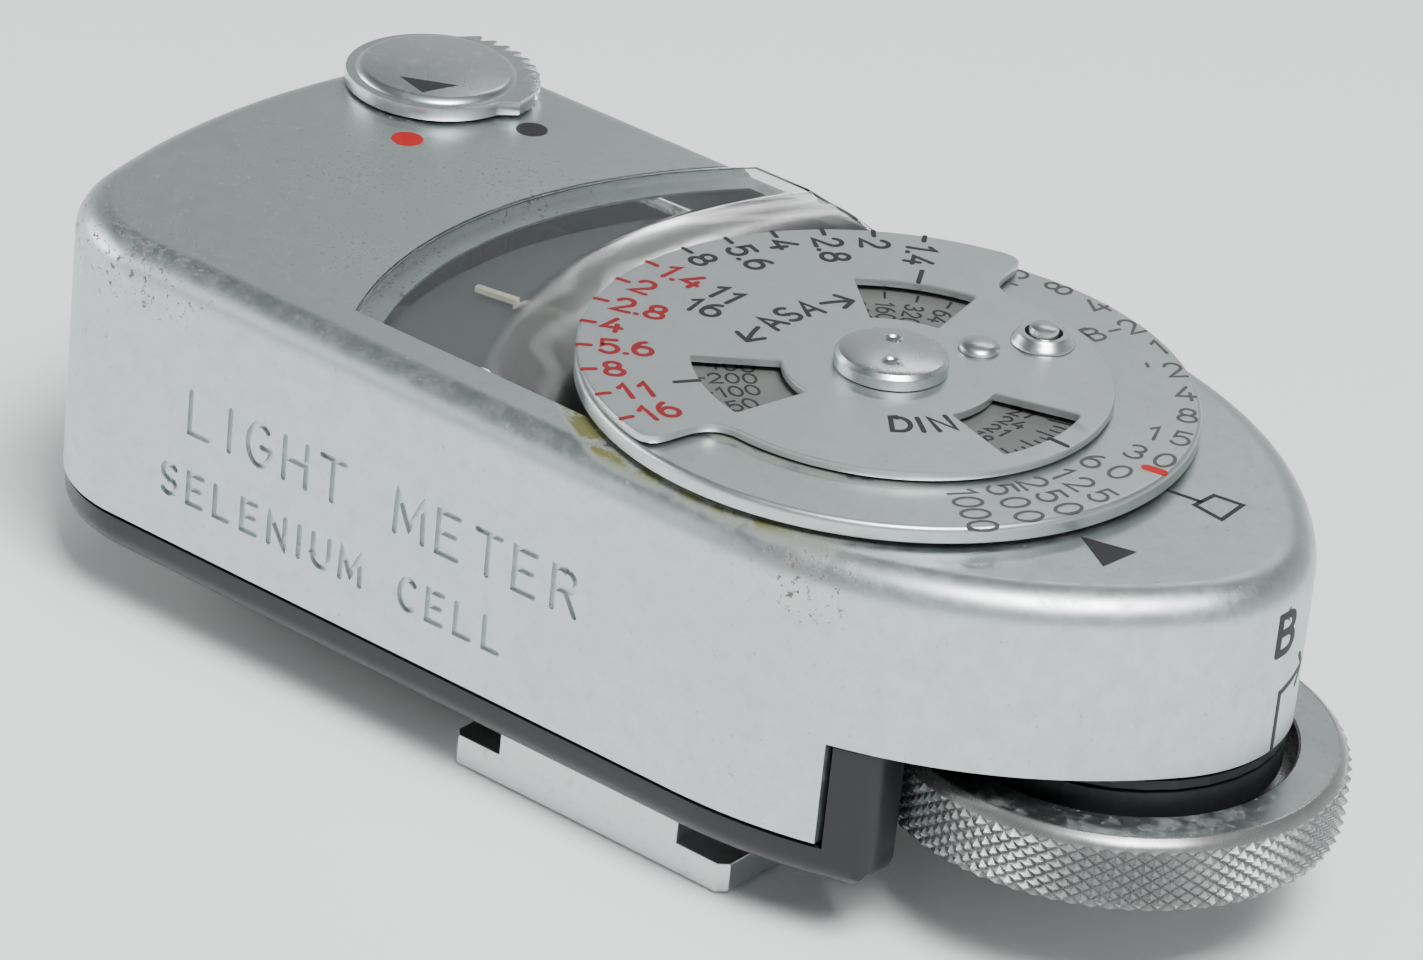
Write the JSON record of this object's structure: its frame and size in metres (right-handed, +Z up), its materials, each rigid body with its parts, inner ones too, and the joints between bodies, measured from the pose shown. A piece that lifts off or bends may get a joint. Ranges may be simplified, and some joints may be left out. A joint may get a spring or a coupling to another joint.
{
  "type": "clip-on selenium light meter",
  "caption": "Clip-on selenium light meter with shoe foot, stacked dials, needle window, range knob and a knurled wheel that couples to a shutter dial.",
  "frame": {"origin": "middle of the accessory foot's underside", "axes": "+X along the case towards its rounded nose and the knurled wheel, +Y towards the light cell's side, +Z up through the dials"},
  "size_m": [0.0762, 0.0344, 0.0249],
  "materials": {
    "satin_chrome": "fine satin",
    "polished_chrome": "polished",
    "black_enamel": "satin",
    "brass": "machined",
    "steel": "machined",
    "magnet_steel": "rough",
    "clear_plastic": "clear",
    "scale_grey": "matte",
    "needle_cream": "matte",
    "selenium_dark": "satin",
    "brown_board": "matte",
    "copper_wire": "wound wire"
  },
  "bodies": {
    "case": {"top_shell": "satin_chrome", "base_plate": "black_enamel", "accessory_foot": "polished_chrome", "case_screw_1": "steel", "case_screw_2": "steel", "case_screw_3": "steel", "case_screw_4": "steel", "foot_screw_1": "steel", "foot_screw_2": "steel", "foot_screw_3": "steel", "foot_screw_4": "steel", "meter_window": "clear_plastic", "scale_plate": "scale_grey", "cell_window": "clear_plastic", "selenium_cell": "selenium_dark", "cell_frame": "black_enamel", "contact_spring_1": "brass", "contact_spring_2": "brass", "dial_bush": "brass", "gear_plate": "brass", "idler_stud": "steel", "wheel_bearing": "black_enamel", "wheel_collar": "black_enamel", "magnet_ring": "magnet_steel", "iron_core": "steel", "lower_bridge": "brass", "upper_bridge": "brass", "bridge_screw_1": "steel", "bridge_screw_2": "steel", "contact_board": "brown_board", "range_resistor_1": "brown_board", "range_resistor_2": "brown_board"},
    "shutter_dial": {"shutter_disc": "satin_chrome", "film_speed_disc": "satin_chrome", "dial_shaft": "steel", "dial_gear": "brass", "centre_screw": "polished_chrome"},
    "aperture_dial": {"aperture_disc": "satin_chrome", "button_collar": "polished_chrome", "disc_rivet": "polished_chrome"},
    "button": {"lock_button": "polished_chrome"},
    "idler": {"idler_gear": "brass"},
    "wheel_drive": {"wheel_shaft": "steel", "wheel_gear": "brass", "wheel_screw": "steel", "wheel_spring": "steel"},
    "wheel": {"coupling_wheel": "polished_chrome", "coupling_pin": "steel"},
    "range_switch": {"range_knob": "polished_chrome", "knob_stem": "steel", "switch_wiper": "brass"},
    "needle_movement": {"needle": "needle_cream", "moving_coil": "copper_wire", "pivot_staff": "steel", "lower_pivot": "steel", "hairspring": "brass"},
    "zero_adjuster": {"zero_screw": "brass"}
  },
  "joints": [
    {"name": "wheel_turn", "type": "hinge", "parent": "case", "child": "wheel_drive", "pos_m": [0.02177, 0.0053, 0.01], "axis": [0, 0, 1], "range_deg": [-135, 117.5]},
    {"name": "wheel_lift", "type": "slide", "parent": "wheel_drive", "child": "wheel", "axis": [0, 0, 1], "range_m": [0, 0.0012], "stiffness_N_per_m": 500, "springref_m": -0.002, "deforming": ["wheel_spring"]},
    {"name": "dial_turn", "type": "hinge", "parent": "case", "child": "shutter_dial", "pos_m": [0.0053, 0.0053, 0.0225], "axis": [0, 0, 1], "range_deg": [-54, 47]},
    {"name": "idler_turn", "type": "hinge", "parent": "case", "child": "idler", "pos_m": [0.01578, 0.0053, 0.0188], "axis": [0, 0, 1], "range_deg": [-117.5, 135]},
    {"name": "film_speed_turn", "type": "hinge", "parent": "shutter_dial", "child": "aperture_dial", "pos_m": [0.0053, 0.0053, 0.0236], "axis": [0, 0, 1], "range_deg": [-50, 50]},
    {"name": "lock_button_press", "type": "slide", "parent": "aperture_dial", "child": "button", "axis": [0, 0, -1], "range_m": [0, 0.00035], "stiffness_N_per_m": 200, "springref_m": -0.0005},
    {"name": "range_knob_turn", "type": "hinge", "parent": "case", "child": "range_switch", "pos_m": [-0.0356, 0.0164, 0.0225], "axis": [0, 0, 1], "range_deg": [0, 60]},
    {"name": "needle_swing", "type": "hinge", "parent": "case", "child": "needle_movement", "pos_m": [-0.0059, 0.0043, 0.0197], "axis": [0, 0, 1], "range_deg": [-45, 6], "stiffness_Nm_per_rad": 0.00002},
    {"name": "zero_screw_turn", "type": "hinge", "parent": "case", "child": "zero_adjuster", "pos_m": [-0.0187, -0.0027, 0.004], "axis": [0, 0, -1], "range_deg": [-20, 20]}
  ],
  "couplings": [
    {"joint": "dial_turn", "follows": "wheel_turn", "ratio": 0.4},
    {"joint": "idler_turn", "follows": "wheel_turn", "ratio": -1}
  ]
}
